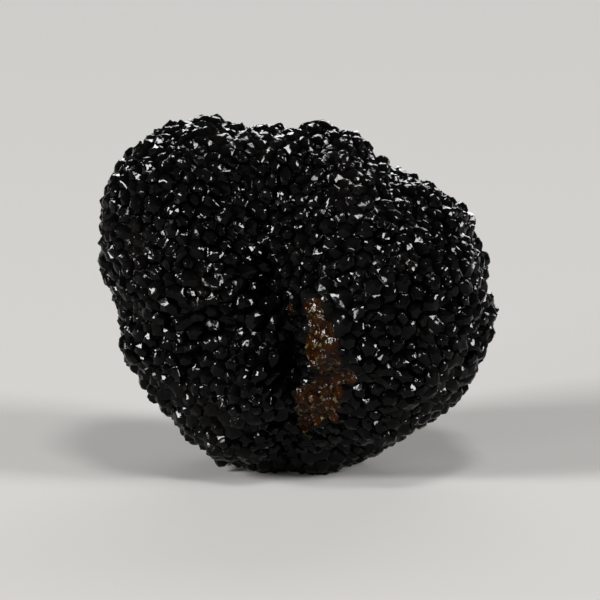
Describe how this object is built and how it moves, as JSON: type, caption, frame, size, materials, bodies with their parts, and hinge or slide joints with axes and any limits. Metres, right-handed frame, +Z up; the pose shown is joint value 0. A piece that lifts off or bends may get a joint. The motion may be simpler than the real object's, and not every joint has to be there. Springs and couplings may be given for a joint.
{
  "type": "black truffle",
  "caption": "Whole black truffle: a lobed solid tuber with a deep front furrow, a brown scar and a skin of close-set polygonal warts, resting on a small flat spot.",
  "frame": {"origin": "middle of the small flat spot that the truffle rests on", "axes": "+X along its longest way, -Y out of the side with the furrow and the scar, +Z up from the flat spot"},
  "size_m": [0.0508, 0.0422, 0.0442],
  "materials": {
    "warty_skin": "wet near-black warty skin with a reddish brown scar"
  },
  "bodies": {
    "root": {"truffle": "warty_skin"}
  },
  "joints": []
}
